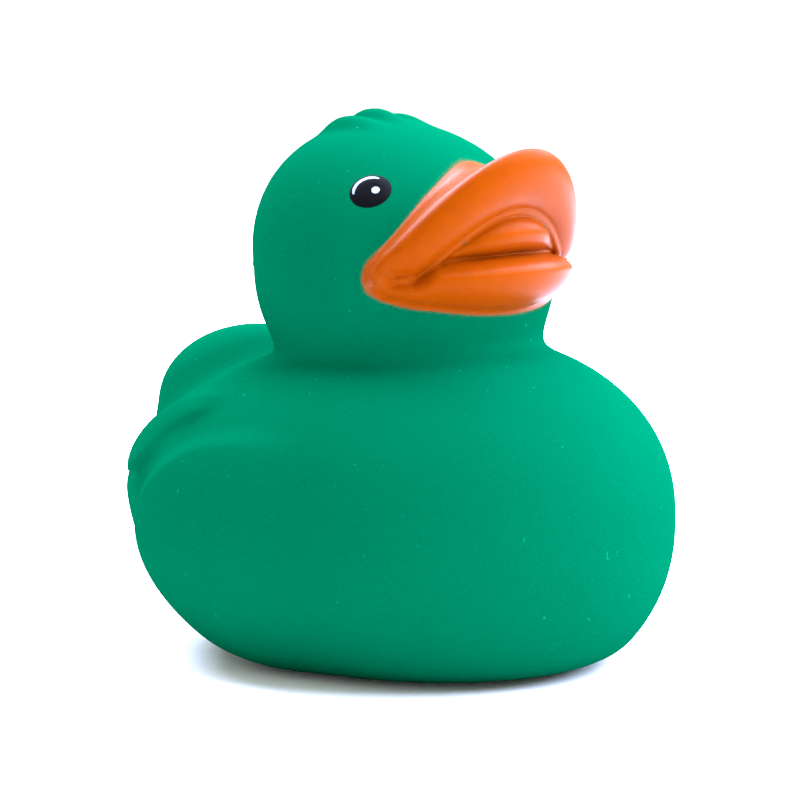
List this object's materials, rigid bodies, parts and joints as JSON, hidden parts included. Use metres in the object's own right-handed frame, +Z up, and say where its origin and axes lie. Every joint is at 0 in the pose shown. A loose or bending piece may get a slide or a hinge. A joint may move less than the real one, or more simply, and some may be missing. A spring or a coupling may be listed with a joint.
{
  "type": "rubber duck",
  "caption": "Hollow soft vinyl bath duck with a painted open bill, printed eyes and a reed squeaker pushed into its flat base.",
  "frame": {"origin": "centre of the duck's plan view, on the surface that it stands on", "axes": "+X forwards, out of the bill; +Y to the duck's left; +Z up"},
  "size_m": [0.084, 0.0748, 0.0783],
  "materials": {
    "green_vinyl": "matte",
    "orange_paint": "satin",
    "black_print": "gloss",
    "white_print": "gloss",
    "squeaker_plastic": "satin",
    "reed_film": "gloss"
  },
  "bodies": {
    "duck": {"body_shell": "green_vinyl", "bill_paint": "orange_paint", "eye_black_left": "black_print", "eye_black_right": "black_print", "eye_white_left": "white_print", "eye_white_right": "white_print", "squeaker_housing": "squeaker_plastic", "reed_seat": "squeaker_plastic", "reed_clamp": "squeaker_plastic"},
    "reed": {"reed": "reed_film"}
  },
  "joints": [
    {"name": "reed_flutter", "type": "hinge", "parent": "duck", "child": "reed", "pos_m": [0.0042, 0, 0.0044], "axis": [0, 1, 0], "range_deg": [0, 4], "stiffness_Nm_per_rad": 0.00002}
  ]
}
